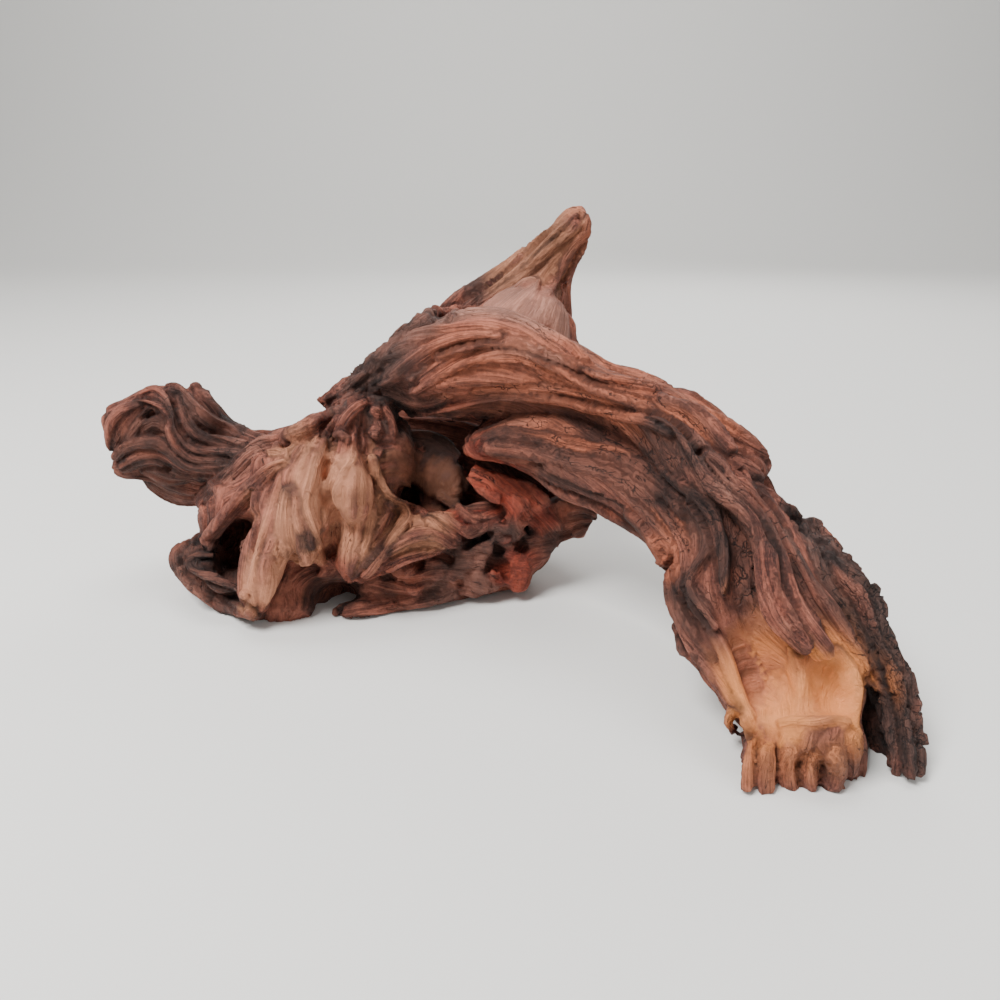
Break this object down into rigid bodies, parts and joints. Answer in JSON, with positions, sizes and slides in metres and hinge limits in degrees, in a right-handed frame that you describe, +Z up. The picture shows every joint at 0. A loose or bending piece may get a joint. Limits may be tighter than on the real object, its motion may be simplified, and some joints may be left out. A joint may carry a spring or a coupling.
{
  "type": "driftwood sculpture",
  "caption": "Piece of twisted weathered root wood: a ridged arch with a horn on top runs from a hollowed, knotted mass at one side down to a scooped leg at the other.",
  "frame": {"origin": "centre of the footprint box, on the surface the wood stands on", "axes": "+X along the longest extent, towards the leg; +Y away from the side with the hollow and the scoop; +Z up"},
  "size_m": [0.3544, 0.2256, 0.1884],
  "materials": {
    "wood": "dry and matt, deeply grained and cracked"
  },
  "bodies": {
    "root": {"driftwood": "wood"}
  },
  "joints": []
}
